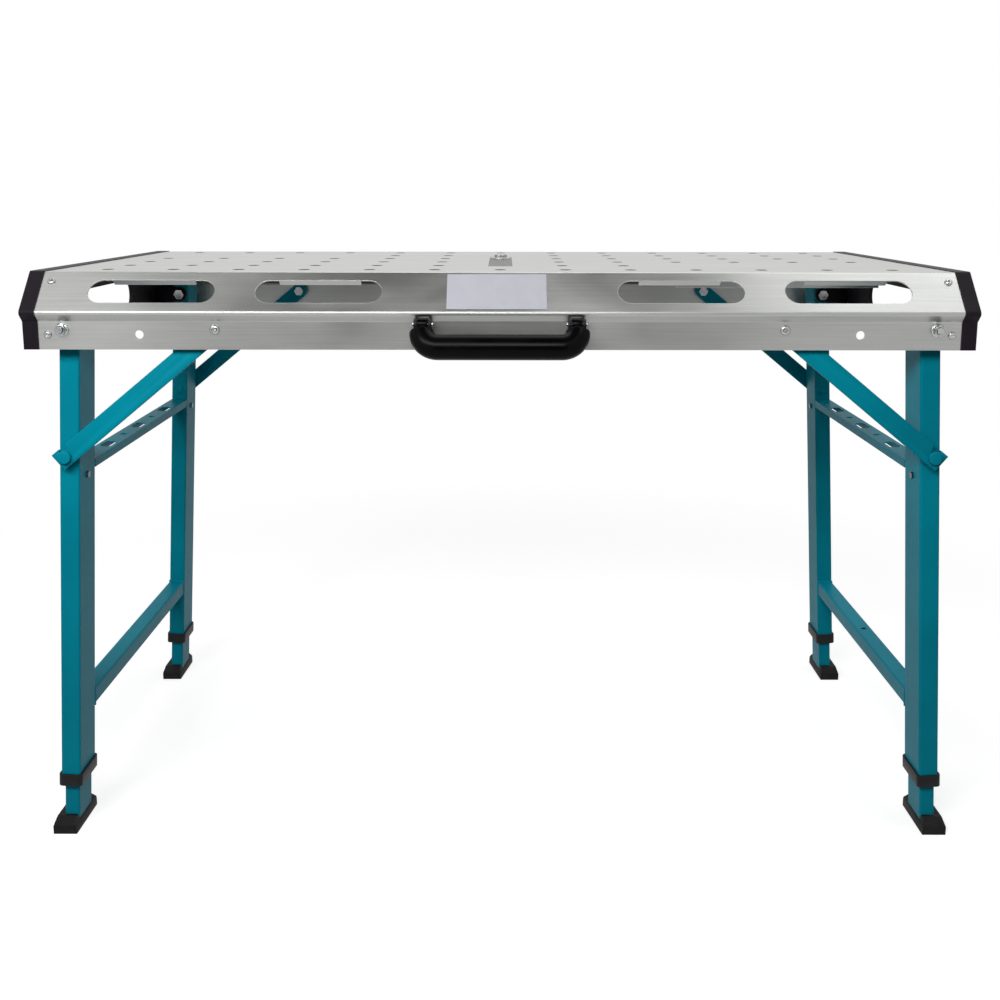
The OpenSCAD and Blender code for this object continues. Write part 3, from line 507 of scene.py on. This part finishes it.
# The leg collars: black moulded rings round the tube ends, with the shoes that
# guide the inner legs.
collar_black, tree, shader, place = new_finish("collar_plastic", 0.0, specular=0.16)
grain = mottle(tree, place, 900.0, detail=2.0)
tone = between(tree, grain, (0.008, 0.008, 0.009), (0.014, 0.014, 0.016))
# Their edges take a lighter tone, a painted highlight.
surface(tree, shader, tone, edge=0.0008, edge_tone=(0.05, 0.05, 0.052),
        rough=between(tree, grain, 0.4, 0.58), relief=grain, strength=0.2)
for side in ("left", "right"):
    softened(side + "_leg_collars", side + "_moulded_collars", collar_black, 0.0009)
    coat(collar_black, side + "_leg_collars", f"front_{side}_slide_shoe", f"rear_{side}_slide_shoe")

# The feet: black rubber, pushed over the inner legs, with a sloped toe and a
# flat sole that picks up some dust.
foot_rubber, tree, shader, place = new_finish("foot_rubber", 0.0, specular=0.14)
grain = mottle(tree, place, 1300.0, detail=3.0)
dust = mottle(tree, place, 45.0, detail=5.0)
tone = between(tree, dust, (0.008, 0.008, 0.008), (0.022, 0.022, 0.023), 0.42, 0.75)
# Their edges take a grey tone, a painted highlight on the chamfers.
surface(tree, shader, tone, edge=0.0010, edge_tone=(0.06, 0.06, 0.06),
        rough=between(tree, grain, 0.55, 0.75), relief=grain, strength=0.3)
for side in ("left", "right"):
    for end in ("front", "rear"):
        softened(f"{end}_{side}_foot", f"{end}_{side}_rubber_foot", foot_rubber, 0.0016,
                 steps=3)

# The carrying handle: a round black grip with bent ends, hung on two hinge pins.
# The grip is smoother and glossier than its brackets.
grip_black, tree, shader, place = new_finish("grip_black", 0.0, specular=0.05)
grain = mottle(tree, place, 1100.0, detail=2.0)
clouds = mottle(tree, place, 20.0, detail=4.0)
tone = between(tree, clouds, (0.0012, 0.0012, 0.0015), (0.0024, 0.0024, 0.0028))
tree.links.new(tone, shader.inputs["Base Color"])
tree.links.new(between(tree, clouds, 0.2, 0.28), shader.inputs["Roughness"])
bump = put(tree, "ShaderNodeBump", {"Strength": 0.06, "Distance": 0.0002, "Height": grain})
tree.links.new(bump.outputs[0], shader.inputs["Normal"])
softened("carry_handle", "round_handle", grip_black, 0.0008)
softened("handle_brackets", "moulded_brackets", collar_black, 0.0005)

# The room: a pale floor that keeps the shadow near the table and turns to plain
# white further out, and soft lamps in front, above and over the right end. The
# floor and the white round it light the object less than the camera sees.
floor_half = 9
floor_mesh = bpy.data.meshes.new("floor")
floor_mesh.from_pydata([(-floor_half, -floor_half, 0), (floor_half, -floor_half, 0),
                        (floor_half, floor_half, 0), (-floor_half, floor_half, 0)], [], [(0, 1, 2, 3)])
floor = bpy.data.objects.new("studio_floor", floor_mesh)
bpy.context.scene.collection.objects.link(floor)
pale = bpy.data.materials.new("pale_floor")
pale.use_nodes = True
tree = pale.node_tree
tree.nodes.clear()


def seen_directly(tree):
    """1 for what the camera sees, also in gloss, and 0 for the light on the object."""
    path = put(tree, "ShaderNodeLightPath").outputs
    two = put(tree, "ShaderNodeMath", {0: path["Is Camera Ray"], 1: path["Is Glossy Ray"]}, operation="ADD")
    return put(tree, "ShaderNodeMath", {0: two.outputs[0], 1: path["Is Transmission Ray"]}, operation="ADD",
               use_clamp=True).outputs[0]


matt = put(tree, "ShaderNodeBsdfDiffuse", {"Color": (0.62, 0.62, 0.62, 1)})
lift = put(tree, "ShaderNodeEmission", {"Color": (1, 1, 1, 1), "Strength": 0.72})
dim = put(tree, "ShaderNodeBsdfDiffuse", {"Color": (0.3, 0.3, 0.3, 1)})
white = put(tree, "ShaderNodeEmission", {"Color": (1, 1, 1, 1), "Strength": 1.0})
near = put(tree, "ShaderNodeAddShader", {0: matt.outputs[0], 1: lift.outputs[0]})
spot = put(tree, "ShaderNodeTexCoord").outputs["Object"]
far = put(tree, "ShaderNodeVectorMath", {0: spot}, operation="LENGTH")
fade = put(tree, "ShaderNodeMapRange", {"Value": far.outputs["Value"], "From Min": 0.8, "From Max": 1.7},
           interpolation_type="SMOOTHSTEP")
shown = put(tree, "ShaderNodeMixShader", {0: fade.outputs[0], 1: near.outputs[0], 2: white.outputs[0]})
both = put(tree, "ShaderNodeMixShader", {0: seen_directly(tree), 1: dim.outputs[0], 2: shown.outputs[0]})
tree.links.new(both.outputs[0], put(tree, "ShaderNodeOutputMaterial").inputs["Surface"])
floor_mesh.materials.append(pale)

world = bpy.data.worlds.new("studio")
bpy.context.scene.world = world
world.use_nodes = True
tree = world.node_tree
level = put(tree, "ShaderNodeMapRange", {"Value": seen_directly(tree), "To Min": 0.1, "To Max": 1.0})
tree.nodes["Background"].inputs["Color"].default_value = (1, 1, 1, 1)
tree.links.new(level.outputs[0], tree.nodes["Background"].inputs["Strength"])

for name, spot, aim, wide, deep, power in (
        ("front_softbox", (-0.5, -1.42, 1.48), (-0.1, 0.1, 0.95), 1.5, 0.5, 26),
        ("top_softbox", (0.2, 0.5, 2.6), (0, 0, 0.7), 2.6, 1.4, 20),
        ("right_softbox", (1.5, -0.85, 3.0), (0.55, -0.28, 0.75), 0.9, 0.9, 5.5)):
    lamp = bpy.data.lights.new(name, "AREA")
    lamp.shape, lamp.size, lamp.size_y, lamp.energy = "RECTANGLE", wide, deep, power
    holder = bpy.data.objects.new(name, lamp)
    bpy.context.scene.collection.objects.link(holder)
    holder.location = spot
    holder.rotation_euler = (Vector(aim) - Vector(spot)).to_track_quat("-Z", "Y").to_euler()

# Two dark cards that only show in the gloss of the metal and the black parts:
# one behind the camera and one above the front, as in a photo studio.
card_dark, tree, shader, place = new_finish("card_dark", 0.0)
shader.inputs["Roughness"].default_value = 0.9
tree.links.new(between(tree, mottle(tree, place, 4.0), 0.02, 0.03), shader.inputs["Base Color"])
for name, corners_at in (
        ("card_behind_camera", ((-0.9, -3.0, 0.0), (0.9, -3.0, 0.0), (0.9, -3.0, 1.9), (-0.9, -3.0, 1.9))),
        ("card_overhead", ((-1.1, -2.2, 3.1), (0.8, -2.2, 3.1), (0.8, 0.4, 3.1), (-1.1, 0.4, 3.1)))):
    mesh = bpy.data.meshes.new(name)
    mesh.from_pydata(corners_at, [], [(0, 1, 2, 3)])
    mesh.materials.append(card_dark)
    card = bpy.data.objects.new(name, mesh)
    bpy.context.scene.collection.objects.link(card)
    card.visible_camera = card.visible_diffuse = card.visible_shadow = card.visible_transmission = False

# The camera, fitted to the table's own points: its focal length over the width of
# the picture, its optical centre in a picture of 1000 pixels, its place and its turns.
focal = 1.07354
picture = 1000
centre_x, centre_y = 503.92, 371.18
camera_place = (0.00514, -1.61016, 0.86431)
camera_dip, camera_roll = 0.1607, 0.00116
view = bpy.data.cameras.new("camera")
view.lens = view.sensor_width * focal
view.shift_x = (picture / 2 - centre_x) / picture
view.shift_y = (centre_y - picture / 2) / picture
view.clip_start = 0.05
camera = bpy.data.objects.new("camera", view)
bpy.context.scene.collection.objects.link(camera)
camera.matrix_world = (Matrix.Translation(camera_place)
                       @ Matrix.Rotation(math.pi / 2 - camera_dip, 4, "X")
                       @ Matrix.Rotation(camera_roll, 4, "Z"))
bpy.context.scene.camera = camera
bpy.context.scene.view_settings.view_transform = "Standard"
